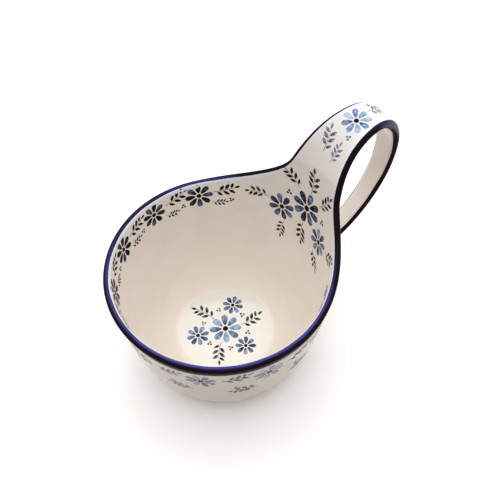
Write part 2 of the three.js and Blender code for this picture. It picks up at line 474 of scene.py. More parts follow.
@dataclass(frozen=True)
class Bowl:
    """The bowl: its wall, its floor, and the throat that rises at the back."""

    rim_radius: float = 64.3
    rim_height: float = 74.0
    lip_thickness: float = 4.1
    floor_top: float = 9.9
    floor_radius: float = 28.5
    floor_rings: tuple[float, ...] = (27.6, 24.0, 16.0, 8.0, 0.5)  # radii in to the pole
    heel_reach: float = 28.0  # how far out the inner curve is drawn as it leaves the floor
    heel_angle: float = 11.0  # degrees at which the wall leaves the flat of the floor
    underside: float = 3.7
    base_radius: float = 36.0
    base_rings: tuple[float, ...] = (0.5, 12.0, 24.0, 33.0)  # radii out from the pole
    belly_reach: float = 20.0  # how far out the outer curve is drawn as it leaves the underside
    wall_flare: float = 0.26  # how far out the wall goes for each millimetre up at the lip
    throat_bend: float = 0.00013  # how the throat bends out to the handle, with the cube of the rise
    bend_from: float = 12.0  # rise above the lip at which it starts to
    follow_from: float = 0.35  # share of the wall's rings above which they follow the rim's rise
    # Height up to which the wall inside carries a painted warm shade, strongest at the floor.
    heel_shade_to: float = 34.0  # height up to which the glaze ran off the foot of the wall inside
    wall_steps: int = 42

    def face(self, side: Side) -> WallFace:
        """Draws one face of the wall.

        Args:
            side: Which face.

        Returns:
            The face.
        """
        inner = side is Side.INSIDE
        lip = Vector((self.rim_radius - (self.lip_thickness if inner else 0.0), self.rim_height))
        start = Vector((self.floor_radius, self.floor_top) if inner else (self.base_radius, self.underside))
        reach = self.heel_reach if inner else self.belly_reach
        lift = reach * math.tan(math.radians(self.heel_angle)) if inner else 0.0
        climb = (self.rim_height - start.y) / 2
        arriving = lip - Vector((self.wall_flare, 1.0)) * climb
        curve = Cubic(start, start + Vector((reach, lift)), arriving, lip)
        return WallFace(curve, self.wall_flare, self.throat_bend, self.bend_from, side)

    @cached_property
    def outside(self) -> WallFace:
        """The outer face of the wall."""
        return self.face(Side.OUTSIDE)

    @cached_property
    def inside(self) -> WallFace:
        """The inner face of the wall."""
        return self.face(Side.INSIDE)

    def lay_floor(self, u: float, v: float) -> Placed:
        """Returns the point and the way up at a place on the flat of the floor inside."""
        return Vector((u, v, self.floor_top)), UP

    def wall_rings(self, face: WallFace, seats: Ring) -> list[Ring]:
        """Lays rings on one face of the wall, from its flat level to just under its seats.

        Args:
            face: The face of the wall.
            seats: Points at the top of the face, one for each column.

        Returns:
            The rings, which follow the rise of the rim further up.
        """
        level = min(seat.z for seat in seats)
        top = face.share_at(level)
        rings = []
        for step in range(self.wall_steps):
            share = step / self.wall_steps
            height = face.curve.at(share * top).y
            follow = eased(share, self.follow_from, 1.0)
            rings.append([face.point(math.atan2(s.y, s.x), height + (s.z - level) * follow) for s in seats])
        return rings

    def flat_rings(self, seats: Ring, height: float, radii: Sequence[float]) -> list[Ring]:
        """Returns flat rings of the given radii at a height, with a point under each seat."""
        ways = [Vector((seat.x, seat.y, 0.0)).normalized() for seat in seats]
        return [[way * radius + UP * height for way in ways] for radius in radii]

    def build(self, throat: Sequence[Ring], rim: Sequence[Ring], glaze: bpy.types.Material) -> None:
        """Models the bowl from columns of points across the top of its wall, and glazes it.

        The clay beside the cobalt is marked paler and cooler, the floor's flat is marked with pooled glaze
        and painted light, and the wall just above the floor with painted warm shade.

        Args:
            throat: Columns from outside to inside, where the wall runs into the strap.
            rim: Columns under the cobalt edge, on round the bowl.
            glaze: The bowl's material.
        """
        columns = [*throat, *rim]
        outer = [column[0] for column in columns]
        inner = [column[-1] for column in columns]
        tops = [list(row) for row in zip(*columns)]
        base = self.flat_rings(outer, self.underside, self.base_rings)
        floor = self.flat_rings(inner, self.floor_top, self.floor_rings)
        below = base + self.wall_rings(self.outside, outer) + tops[:1]
        within = self.wall_rings(self.inside, inner)[::-1] + floor
        rings = below + tops[1:] + within
        bare = [0.0] * len(columns)
        edged = [0.0] * len(throat) + [1.0] * len(rim)
        # The floor's flat: pooled glaze, with painted light on it.
        pooled_and_lit = [1.0] * len(columns)
        # Painted warm shade low on the wall inside, fading out upwards.
        heel_shade = [[1.0 - eased(p.z, self.floor_top, self.heel_shade_to) for p in ring] for ring in within]
        marks = {
            "lip": [bare] * len(below) + [edged] * (len(tops) - 1) + [bare] * len(within),
            "pool_and_lit_floor": [bare] * (len(rings) - len(floor)) + [pooled_and_lit] * len(floor),
            "run": [bare] * (len(rings) - len(within)) + heel_shade,
        }
        dress(skin("bowl", rings, End.POLE, marks), glaze, "glazed_stoneware", "bowl_body")


@dataclass(frozen=True)
class Foot:
    """The turned ring that the bowl stands on, left unglazed."""

    radius: float = 36.0
    width: float = 5.5
    height: float = 3.9  # with what is let into the bowl's underside
    rounding: float = 0.8
    rounding_steps: int = 4
    turn_steps: int = 120
    seam: float = 0.01  # distance within which the ends of the turn are one

    def build(self, clay: bpy.types.Material) -> None:
        """Models and dresses the ring: a rounded section, spun round the bowl's axis.

        Args:
            clay: The ring's material.
        """
        middle = in_frame(Vector((self.radius - self.width / 2, 0.0, self.height / 2)))
        bpy.ops.object.select_all(action="DESELECT")
        bpy.ops.mesh.primitive_plane_add(
            size=MM, location=middle, rotation=(math.pi / 2, 0.0, 0.0), calc_uvs=False
        )
        ring = bpy.context.object
        ring.name = ring.data.name = "foot"
        ring.scale = (self.width, self.height, 1.0)
        bpy.ops.object.transform_apply(location=True, rotation=True, scale=True)
        bpy.ops.object.mode_set(mode="EDIT")
        bpy.ops.mesh.select_all(action="SELECT")
        bpy.ops.mesh.bevel(offset=self.rounding * MM, segments=self.rounding_steps, affect="VERTICES")
        bpy.ops.mesh.select_all(action="SELECT")
        bpy.ops.mesh.delete(type="ONLY_FACE")
        bpy.ops.mesh.select_all(action="SELECT")
        bpy.ops.mesh.spin(steps=self.turn_steps, angle=2 * math.pi, center=AXIS, axis=UP)
        bpy.ops.mesh.select_all(action="SELECT")
        bpy.ops.mesh.remove_doubles(threshold=self.seam * MM)
        bpy.ops.mesh.normals_make_consistent(inside=False)
        bpy.ops.object.mode_set(mode="OBJECT")
        bpy.ops.object.shade_smooth_by_angle(angle=SMOOTH_UNDER)
        dress(ring, clay, "bare_stoneware", "foot_ring")


@dataclass(frozen=True)
class LoopHandle:
    """The strap that leaves the throat, rolls over and comes down to the outside of the wall."""

    bowl: Bowl
    throat_rise: float = 27.2
    loop_rise: float = 52.8
    loop_reach: float = 58.0
    crest_setback: float = 34.3
    back_drop: float = 31.0
    tail_height: float = 30.4
    strap_thickness: float = 5.6
    neck_width: float = 37.2
    tail_width: float = 10.0
    narrowing: float = 55.0  # length over which the strap narrows, thickens and flattens
    pad_width: float = 2.5  # how much wider the tail is on the wall
    pad_length: float = 16.0  # length over which it widens
    fillet: float = 4.2  # rounding of the clay where the tail meets the wall
    let_in: float = 0.4  # depth of the tail's end in the wall
    settle_length: float = 12.0  # length over which the tail takes on the round of the wall
    # The crest between the cobalt edges is painted whiter: a painted highlight of the light on the strap's
    # top.
    crest_highlight_gain: float = 0.7  # how much whiter the glaze lies on the crest, between the cobalt edges
    steps: int = 64
    fillet_steps: int = 9
    across_steps: int = 16
    samples: int = 160

    @cached_property
    def stretches(self) -> tuple[Cubic, Cubic, Cubic]:
        """Curves of the strap's upper face in the plane of symmetry: neck to crest, to back, to tail."""
        bowl = self.bowl
        top = bowl.rim_height + self.throat_rise
        neck = Vector((bowl.inside.radius_at(top), top))
        crest = Vector((bowl.rim_radius + self.crest_setback, bowl.rim_height + self.loop_rise))
        back = Vector((bowl.rim_radius + self.loop_reach, crest.y - self.back_drop))
        tail = Vector((bowl.outside.radius_at(self.tail_height), self.tail_height))
        lean = Vector((bowl.inside.lean(self.throat_rise), 1.0)).normalized()
        leaving = neck + lean * (crest.y - neck.y) * BEND
        rising = Cubic(neck, leaving, crest - Vector((crest.x - neck.x, 0)) * BEND, crest)
        over = Vector((back.x - crest.x, back.y - crest.y))
        rolling = Cubic(crest, crest + Vector((over.x, 0)) * BEND, back - Vector((0, over.y)) * BEND, back)
        under = Vector((tail.x - back.x, tail.y - back.y))
        falling = Cubic(back, back + Vector((0, under.y)) * BEND, tail - Vector((under.x, 0)) * BEND, tail)
        return rising, rolling, falling

    @cached_property
    def measure(self) -> list[Row]:
        """Distances along the loop, each with the stretch and the share of it as one number."""
        rows = [(0.0, 0.0)]
        last = self.stretches[0].start
        for number, stretch in enumerate(self.stretches):
            for step in range(1, self.samples + 1):
                here = stretch.at(step / self.samples)
                rows.append((rows[-1][0] + (here - last).length, number + step / self.samples))
                last = here
        return rows

    @property
    def length(self) -> float:
        """Length of the strap along its upper face."""
        return self.measure[-1][0]

    def line_at(self, along: float) -> tuple[Vector, Vector]:
        """Finds a place on the loop's line.

        Args:
            along: Distance along the strap.

        Returns:
            The point and the heading there, in the plane of symmetry.
        """
        (near, low), (far, high) = neighbours(self.measure, along)
        place = mix(low, high, min(max((along - near) / (far - near), 0.0), 1.0))
        stretch = min(int(place), len(self.stretches) - 1)
        curve = self.stretches[stretch]
        return curve.at(place - stretch), curve.heading(place - stretch)

    def fillet_gain(self, along: float) -> float:
        """Finds how far the clay swells as it runs out on the wall.

        Args:
            along: Distance along the strap.

        Returns:
            The swelling on each side there.
        """
        left = self.length - along
        if left >= self.fillet:
            return 0.0
        return self.fillet - math.sqrt(max(self.fillet**2 - (self.fillet - left) ** 2, 0.0))

    def half_width(self, along: float) -> float:
        """Finds half of the strap's width.

        Args:
            along: Distance along the strap.

        Returns:
            Half of the width there.
        """
        spread = self.pad_width * eased(along, self.length - self.pad_length, self.length)
        narrowing = math.exp(-along / self.narrowing)
        width = self.tail_width + (self.neck_width - self.tail_width) * narrowing + spread
        return width / 2 + self.fillet_gain(along)

    def thickness(self, along: float) -> float:
        """Returns the strap's thickness at a distance along it, without the swelling at the wall."""
        return mix(self.bowl.lip_thickness, self.strap_thickness, eased(along, 0.0, self.narrowing))

    def surface(self, along: float, across: float) -> Placed:
        """Finds a place on the strap's upper face, which carries the round of the wall and flattens out.

        Args:
            along: Distance along the strap.
            across: Distance from its middle.

        Returns:
            The point, and the way out of the face.
        """
        at, heading = self.line_at(along)
        upper = Vector((-heading.y, 0.0, heading.x))
        roundness = math.exp(-((along / self.narrowing) ** 2)) / self.stretches[0].start.x
        point = Vector((at.x, across, at.y)) + upper * (across * across * roundness / 2)
        return point, (upper - ACROSS * (across * roundness)).normalized()

    def inner_point(self, along: float, across: float, down: float) -> Vector:
        """Returns a point of the strap, a distance down from its upper face."""
        point, normal = self.surface(along, across)
        return point - normal * down

    def onto_wall(self, point: Vector, along: float) -> Vector:
        """Moves a point of the strap, so that the tail takes on the round of the wall.

        Args:
            point: The point.
            along: Its distance along the strap.

        Returns:
            The moved point.
        """
        left = self.length - along
        if left >= self.settle_length:
            return point
        radius = self.bowl.outside.radius_at(point.z) - self.let_in
        reach = math.sqrt(max(radius * radius - point.y * point.y, 0.0)) - self.stretches[-1].end.x
        return point + Vector((reach * (1.0 - left / self.settle_length) ** 2, 0.0, 0.0))

    @cached_property
    def places(self) -> list[float]:
        """Distances along the strap at which it has a section, close together in the fillet."""
        start = self.length - self.fillet
        even = [start * step / self.steps for step in range(self.steps + 1)]
        turns = [math.pi / 2 * step / self.fillet_steps for step in range(1, self.fillet_steps + 1)]
        return even + [start + self.fillet * math.sin(turn) for turn in turns]

    def section(self, along: float, station: EdgeStation, steps: int) -> Ring:
        """Draws the clay's section between the cobalt edges.

        Args:
            along: Distance along the strap.
            station: The edge at that distance.
            steps: Steps of the clay's part of each rounding.

        Returns:
            The section's points, round it.
        """
        other = station.other_side()
        gain = self.fillet_gain(along)
        reach = self.half_width(along) - station.nose
        thick = self.thickness(along) + gain
        shares = [2.0 * step / self.across_steps - 1.0 for step in range(1, self.across_steps)]
        upper = [self.inner_point(along, share * reach, -gain) for share in shares]
        under = [self.inner_point(along, share * reach, thick) for share in shares]
        near = [*station.clay(steps)[::-1], *station.hem(steps)]
        far = [*other.hem(steps)[::-1], *other.clay(steps)]
        return [self.onto_wall(p, along) for p in [*upper, *near, *under[::-1], *far]]

    def build(self, stations: Sequence[EdgeStation], steps: int, glaze: bpy.types.Material) -> None:
        """Models the strap and glazes it, with a mark that pales the clay beside the cobalt and paints a
        highlight on the crest.

        Args:
            stations: The edge at each section.
            steps: Steps of the clay's part of each rounding.
            glaze: The strap's material.
        """
        rings = [self.section(along, s, steps) for along, s in zip(self.places, stations)]
        hem = [0.0] * (steps + 1)
        across = self.across_steps - 1
        pale_edge_and_highlight_rows = []
        for along in self.places:
            # The paler edge beside the cobalt and the painted highlight on the crest, fading out at the tail.
            pale_edge_and_highlight_fade = eased(self.length - along, self.fillet, 2.0 * self.pad_length)
            crest_highlight = pale_edge_and_highlight_fade * self.crest_highlight_gain * eased(along, 0.0, self.narrowing)
            edge = [pale_edge_and_highlight_fade] * len(hem)
            pale_edge_and_highlight_rows.append([crest_highlight] * across + edge + hem + [0.0] * across + hem + edge)
        strap = skin("loop_strap", rings, End.CAP, {"lip": pale_edge_and_highlight_rows})
        dress(strap, glaze, "glazed_stoneware", "handle_strap")


@dataclass(frozen=True)
class ScoopEdge:
    """The edge of the scoop, wrapped in cobalt: round the lip, up the throat and along the strap."""

    bowl: Bowl
    handle: LoopHandle
    shoulder_angle: float = 69.0  # degrees off the handle at which the rim starts to rise
    throat_lead: float = 5.0  # length over which the throat's sides carry on the strap's
    shoulder_ease: float = 0.76  # share of the sweep over which they level out
    lip_cover: float = 6.2  # width of the cobalt down the outside of the lip
    strap_cover: float = 1.2  # and under the strap
    lip_turn_in: float = 0.7  # its width inside the lip
    strap_turn_in: float = 1.9  # and on top of the strap
    stroke_taper: tuple[float, float] = (2.5, 10.0)  # from the wall, where the brush was lifted
    stroke_end: float = 0.03  # share of the width that is left there
    nose: float = 2.4  # how far the rounding of the edge reaches in at most
    # Degrees off the handle, and how thinly the cobalt lies there, which also paints in the blue sheen of the
    # light on the lip.
    thin_and_sheen_places: tuple[Row, ...] = (
        (-180.0, 0.7), (-155.0, 1.0), (-90.0, 1.0), (-60.0, 0.75), (-42.0, 0.25), (-30.0, 0.0),
        (40.0, 0.0), (52.0, 0.45), (72.0, 0.5), (88.0, 0.15), (118.0, 0.15), (135.0, 0.5), (180.0, 0.7),
    )
    # Where the strap's crest shows thinned cobalt with a painted blue sheen, how much at most, and how far
    # down the edge.
    thin_and_sheen_strap: tuple[float, float, float, float] = (36.0, 54.0, 70.0, 88.0)  # where it thins on the strap
    crest_thin_and_sheen: float = 0.4  # how thin it is there at most
    crest_sheen_reach: float = 1.1  # how much further down the edge it thins there
    front_steps: int = 46
    shoulder_steps: int = 30
    throat_steps: int = 8
    square_steps: int = 10  # stations over which the sections turn from the strap's to square to the rim
    nose_steps: int = 12
    clay_steps: int = 4

    def station(
        self, tip: Vector, out: Vector, way: Vector, thickness: float, along: float, strap: float
    ) -> EdgeStation:
        """Makes a station of the edge.

        Args:
            tip: Foremost point of the edge.
            out: Way out of the outer face.
            way: Way to the tip.
            thickness: Thickness of the clay there.
            along: Distance along the edge from the front.
            strap: Share of the strap's widths of cobalt, against those of the lip.

        Returns:
            The station.
        """
        nose = min(thickness / 2, self.nose)
        cover_out = mix(self.lip_cover, self.strap_cover, strap) + OUTER_DRIFT * drift(along)
        cover_in = mix(self.lip_turn_in, self.strap_turn_in, strap) + INNER_DRIFT * drift(along)
        return EdgeStation(tip, out, way, thickness, nose, along, cover_out, cover_in)

    @cached_property
    def side_line(self) -> list[Row]:
        """Angle and rise of the rim from the neck to the front, on the near side."""
        handle, bowl = self.handle, self.bowl
        radius = bowl.rim_radius - bowl.lip_thickness / 2 + bowl.outside.spread(handle.throat_rise)
        neck = math.asin(handle.half_width(0.0) / radius)
        shoulder = math.radians(self.shoulder_angle)
        closing = (handle.neck_width - handle.tail_width) / 2 / handle.narrowing
        side = Cubic(
            Vector((neck, handle.throat_rise)),
            Vector((neck + closing * self.throat_lead / radius, handle.throat_rise - self.throat_lead)),
            Vector((mix(shoulder, neck, self.shoulder_ease), 0.0)),
            Vector((shoulder, 0.0)),
        )
        rising = [tuple(side.at(step / self.shoulder_steps)) for step in range(self.shoulder_steps + 1)]
        front = range(1, self.front_steps + 1)
        return rising + [(mix(shoulder, math.pi, step / self.front_steps), 0.0) for step in front]

    @cached_property
    def rim(self) -> list[EdgeStation]:
        """Stations of the near side's rim, from the neck to the front."""
        bowl = self.bowl
        middle = bowl.rim_radius - bowl.lip_thickness / 2
        tips = []
        for angle, rise in self.side_line:
            radius = middle + bowl.outside.spread(rise)
            tips.append(Vector((radius * math.cos(angle), radius * math.sin(angle), bowl.rim_height + rise)))
        lengths = [(b - a).length for a, b in zip(tips, tips[1:])]
        neck = self.strap_station(0.0, sum(lengths))
        stations = [neck]
        for number in range(1, len(tips)):
            angle, rise = self.side_line[number]
            tilt = math.atan(bowl.outside.lean(rise))
            ahead = tips[number + 1] if number + 1 < len(tips) else mirrored(tips[number - 1])
            run = (ahead - tips[number - 1]).normalized()
            level = math.cos(tilt)
            out = Vector((math.cos(angle) * level, math.sin(angle) * level, -math.sin(tilt)))
            square = eased(number, 0, self.square_steps)
            way = neck.way.lerp(out.cross(run).normalized(), square).normalized()
            tip = tips[number] + (neck.tip - tips[0]) * (1.0 - square)
            strap = 1.0 - min(number / self.shoulder_steps, 1.0)
            stations.append(self.station(tip, out, way, bowl.lip_thickness, sum(lengths[number:]), strap))
        return stations

    @cached_property
    def whole_rim(self) -> list[EdgeStation]:
        """Stations of the whole rim, from the neck's near side round the front to its far side."""
        return [*self.rim, *(station.other_side() for station in self.rim[-2::-1])]

    def strap_station(self, along: float, rim_length: float) -> EdgeStation:
        """Makes a station of the near side's strap edge.

        Args:
            along: Distance along the strap.
            rim_length: Length of the edge from the front to the neck.

        Returns:
            The station.
        """
        handle = self.handle
        half = handle.half_width(along)
        thickness = handle.thickness(along)
        _, normal = handle.surface(along, half)
        tip = handle.inner_point(along, half, thickness / 2)
        way = (ACROSS - normal * normal.y).normalized()
        full = thickness + 2 * handle.fillet_gain(along)
        left = mix(self.stroke_end, 1.0, eased(handle.length - along, *self.stroke_taper))
        return replace(self.station(tip, -normal, way, full, rim_length + along, 1.0), stroke=left * left)

    @cached_property
    def strap(self) -> list[EdgeStation]:
        """Stations of the near side's strap edge, from the neck to the wall."""
        return [self.strap_station(along, self.rim[0].along) for along in self.handle.places]

    def throat_columns(self) -> list[Ring]:
        """Draws columns of points across the wall's top in the throat.

        Returns:
            The columns, each from outside to inside, from the far side to the near.
        """
        neck = self.rim[0]
        reach = self.handle.half_width(0.0) - neck.nose
        count = self.clay_steps + 1
        columns = []
        for step in range(1, 2 * self.throat_steps):
            across = (step / self.throat_steps - 1.0) * reach
            outer = self.handle.inner_point(0.0, across, neck.thickness)
            inner = self.handle.inner_point(0.0, across, 0.0)
            columns.append([outer.lerp(inner, number / count) for number in range(count + 1)])
        return columns

    def rim_columns(self) -> list[Ring]:
        """Returns the columns of points across the wall's top under the cobalt, from outside to inside."""
        return [[station.seat, *station.clay(self.clay_steps)] for station in self.whole_rim]

    def thinness_and_sheen(self, station: EdgeStation) -> float:
        """Finds how thinly the brush left the cobalt, together with the painted sheen of the light on it.

        Args:
            station: A station of the edge.

        Returns:
            How thinly it lies there, with its painted sheen, from 0 to 1.
        """
        past_neck = abs(station.along) - self.rim[0].along
        if past_neck > 0.0:
            risen, fallen = (eased(past_neck, *ends) for ends in (self.thin_and_sheen_strap[:2], self.thin_and_sheen_strap[2:]))
            return self.crest_thin_and_sheen * risen * (1.0 - fallen)
        angle = math.degrees(math.atan2(station.tip.y, station.tip.x))
        (near, low), (far, high) = neighbours(self.thin_and_sheen_places, angle)
        return mix(low, high, eased(angle, near, far))

    def band(
        self, name: str, stations: Sequence[EdgeStation], places: Sequence[float]
    ) -> bpy.types.Object:
        """Models a run of the cobalt edge.

        Args:
            name: Name of the piece.
            stations: The stations that it runs through.
            places: Their distances along the strap, or none for the rim.

        Returns:
            The piece, with how far along and across the band each point lies, and how thinly the cobalt lies
            with its painted sheen.
        """
        rings = [station.cobalt(self.nose_steps) for station in stations]
        if places:
            rings = [[self.handle.onto_wall(p, at) for p in ring] for ring, at in zip(rings, places)]
        marks = {"across": [], "along": [], "thin_and_sheen": []}
        for ring, station in zip(rings, stations):
            lengths = [0.0]
            for a, b in zip(ring, ring[1:]):
                lengths.append(lengths[-1] + (b - a).length)
            thin_and_sheen = self.thinness_and_sheen(station)
            wash = self.crest_sheen_reach * thin_and_sheen if places else 0.0
            marks["across"].append([length / lengths[-1] + wash for length in lengths])
            marks["along"].append([station.along * MM] * len(ring))
            marks["thin_and_sheen"].append([thin_and_sheen] * len(ring))
        return skin(name, rings, End.CAP, marks)

    def build(self, cobalt: bpy.types.Material) -> None:
        """Models and dresses the cobalt's three runs.

        Args:
            cobalt: Their material.
        """
        far_strap = [station.other_side() for station in self.strap]
        runs = (  # node of the frame, name, stations, and their distances along the strap
            ("rim_band", "cobalt_lip", self.whole_rim, ()),
            ("strap_band_left", "cobalt_strap_left", self.strap, self.handle.places),
            ("strap_band_right", "cobalt_strap_right", far_strap, self.handle.places),
        )
        for node, *run in runs:
            dress(self.band(*run), cobalt, "cobalt_glaze", node)


def linear(hex_colour: str) -> Colour:
    """Turns a colour to linear light.

    Args:
        hex_colour: The colour as sRGB hex.

    Returns:
        Its linear parts, opaque.
    """
    parts = (int(hex_colour[i : i + 2], 16) / 255 for i in (1, 3, 5))
    red, green, blue = (p / 12.92 if p <= 0.04045 else ((p + 0.055) / 1.055) ** 2.4 for p in parts)
    return red, green, blue, 1.0


def per_mm(size: float) -> float:
    """Returns a texture's scale in metres for a pattern of a size in millimetres."""
    return 1.0 / (size * MM)


def add_node(
    tree: bpy.types.NodeTree, kind: str, inputs: dict[str | int, object] | None = None, **settings: object
) -> bpy.types.Node:
    """Adds a shader node.

    Args:
        tree: Where it goes.
        kind: Its type, without the ShaderNode that the name starts with.
        inputs: What goes to its inputs, by name or number: a value, a colour as hex, a socket to link,
            or a node whose first output is linked.
        settings: Its own settings.

    Returns:
        The node.
    """
    node = tree.nodes.new(f"ShaderNode{kind}")
    for name, value in settings.items():
        setattr(node, name, value)
    for key, value in (inputs or {}).items():
        if isinstance(key, int):
            socket = node.inputs[key]
        else:
            socket = next(one for one in node.inputs if one.enabled and one.name == key)
        if isinstance(value, bpy.types.Node):
            value = next(one for one in value.outputs if one.enabled)
        if isinstance(value, bpy.types.NodeSocket):
            tree.links.new(value, socket)
        else:
            socket.default_value = linear(value) if isinstance(value, str) else value
    return node


def blank_material(title: str) -> bpy.types.Material:
    """Makes a material that has no nodes yet.

    Args:
        title: Its name.

    Returns:
        The material.
    """
    material = bpy.data.materials.new(title)
    material.use_nodes = True
    material.node_tree.nodes.clear()
    return material


class Finish:
    """A finish that makes its own material."""

    title = "finish"

    def shade(self, tree: bpy.types.NodeTree) -> dict[str, object]:
        """Adds the finish's nodes and returns what goes to the shader's sockets."""
        raise NotImplementedError

    def make(self) -> bpy.types.Material:
        """Makes the material.

        Returns:
            The material.
        """
        material = blank_material(self.title)
        tree = material.node_tree
        shader = add_node(tree, "BsdfPrincipled", self.shade(tree))
        add_node(tree, "OutputMaterial", {"Surface": shader})
        return material


@dataclass(frozen=True)
class ClearGlaze(Finish):
    """Cream stoneware under a clear gloss glaze.

    The eye sees a warm white with faint clouds where the glaze is thicker, a few pin-point iron specks, and
    reflections that ripple a little because the glaze ran down the wall as it melted.
    """

    title = "clear_glazed_stoneware"
    body: str = "#F2E9E1"
    cloud: str = "#EFE5DB"
    speck: str = "#A08C78"
    # Paler, cooler white on the clay beside the cobalt, also laid as a painted highlight on the strap's
    # crest.
    pale_edge_and_highlight: str = "#EFEFF8"  # where the cobalt has bled a little into the glaze beside it
    # Neutral white where the glaze lies thick on the floor, which also paints the light on the floor's flat.
    pool_and_lit_floor: str = "#F0ECE3"  # where the glaze lies thick on the floor
    # Warmer, darker cream painted as shade low on the wall inside.
    run: str = "#EEE3D6"  # where it ran off the wall above that
    cloud_size: float = 24.0
    cloud_range: tuple[float, float] = (0.35, 0.7)
    speck_spacing: float = 6.0
    speck_share: float = 0.07  # of the spacing
    speck_depth: float = 0.55  # how dark the middle of a speck is
    ripple_size: float = 7.0
    ripple_depth: float = 0.035
    run_length: float = 60.0
    roughness: float = 0.09
    ior: float = 1.5

    def shade(self, tree: bpy.types.NodeTree) -> dict[str, object]:
        """Adds clouds, specks, the marks on the clay with their painted light and shade, and ripples.

        Args:
            tree: The material's nodes.

        Returns:
            What goes to the shader's sockets.
        """
        at = add_node(tree, "TexCoord").outputs["Object"]
        clouds = add_node(tree, "TexNoise", {"Vector": at, "Scale": per_mm(self.cloud_size), "Detail": 3.0})
        low, high = self.cloud_range
        thick = add_node(
            tree, "MapRange", {"Value": clouds, "From Min": low, "From Max": high},
            interpolation_type="SMOOTHSTEP",
        )
        cells = add_node(tree, "TexVoronoi", {"Vector": at, "Scale": per_mm(self.speck_spacing)})
        spots = add_node(
            tree, "MapRange",
            {"Value": cells, "From Max": self.speck_share, "To Min": self.speck_depth, "To Max": 0.0},
        )
        tints = [(thick, self.cloud), (spots, self.speck)]
        # The heel's mark paints warm shade low on the wall inside, the floor's mark paints light on the
        # floor, and the edge mark pales the clay by the cobalt and paints a highlight on the strap's crest.
        for name, tint in (("run", self.run), ("pool_and_lit_floor", self.pool_and_lit_floor), ("lip", self.pale_edge_and_highlight)):
            tints.append((add_node(tree, "Attribute", attribute_name=name).outputs["Fac"], tint))
        colour = self.body
        for share, tint in tints:
            colour = add_node(tree, "Mix", {"Factor": share, "A": colour, "B": tint}, data_type="RGBA")
        stretch = (1.0, 1.0, self.ripple_size / self.run_length)
        drawn = add_node(tree, "Mapping", {"Vector": at, "Scale": stretch})
        runs = add_node(tree, "TexNoise", {"Vector": drawn, "Scale": per_mm(self.ripple_size), "Detail": 1.0})
        ripple = add_node(tree, "Bump", {"Height": runs, "Distance": self.ripple_depth * MM, "Strength": 1.0})
        return {"Base Color": colour, "Roughness": self.roughness, "IOR": self.ior, "Normal": ripple}


@dataclass(frozen=True)
class BrushedCobalt(Finish):
    """Cobalt oxide brushed on thick under the clear glaze.

    It fires almost black and dry where the brush left it thick, outside and under, and breaks to a clear,
    glossy blue where it thins over the lip, with faint streaks along the brush's way. How far the blue shows
    round the rim and on the strap's crest is also a painted sheen of the light on the lip.
    """

    title = "brushed_cobalt_glaze"
    thick: str = "#21161F"
    # Blue of thinned cobalt, which also paints the sheen of the light on the lip and the strap's crest.
    thin_and_sheen: str = "#31308A"
    thins_from: float = 0.74  # share of the way from the outer end to the inner
    thins_to: float = 0.88
    streak_length: float = 16.0
    streak_width: float = 0.16  # of the band's width
    streak_gain: float = 0.1
    roughness: float = 0.08
    dry: float = 0.01  # level of the reflections where the cobalt is thick
    gloss: float = 0.3  # and where it is thin
    ior: float = 1.5

    def shade(self, tree: bpy.types.NodeTree) -> dict[str, object]:
        """Adds the thinning over the lip, with its painted sheen, and the brush's streaks.

        Args:
            tree: The material's nodes.

        Returns:
            What goes to the shader's sockets.
        """
        # The mark of thinned cobalt also carries a painted sheen of the light.
        along, across, most = (
            add_node(tree, "Attribute", attribute_name=name).outputs["Fac"]
            for name in ("along", "across", "thin_and_sheen")
        )
        run = add_node(tree, "Math", {0: along, 1: per_mm(self.streak_length)}, operation="MULTIPLY")
        side = add_node(tree, "Math", {0: across, 1: 1.0 / self.streak_width}, operation="MULTIPLY")
        brush = add_node(tree, "CombineXYZ", {"X": run, "Y": side})
        streaks = add_node(tree, "TexNoise", {"Vector": brush, "Scale": 1.0, "Detail": 2.0})
        gain = self.streak_gain
        shift = add_node(tree, "MapRange", {"Value": streaks, "To Min": -gain, "To Max": gain})
        worn = add_node(tree, "Math", {0: across, 1: shift}, operation="ADD")
        thin_and_sheen = add_node(
            tree, "MapRange",
            {"Value": worn, "From Min": self.thins_from, "From Max": self.thins_to, "To Max": most},
            interpolation_type="SMOOTHSTEP",
        )
        colour = add_node(tree, "Mix", {"Factor": thin_and_sheen, "A": self.thick, "B": self.thin_and_sheen}, data_type="RGBA")
        shine = add_node(tree, "MapRange", {"Value": thin_and_sheen, "To Min": self.dry, "To Max": self.gloss})
        return {
            "Base Color": colour,
            "Roughness": self.roughness,
            "Specular IOR Level": shine,
            "IOR": self.ior,
        }


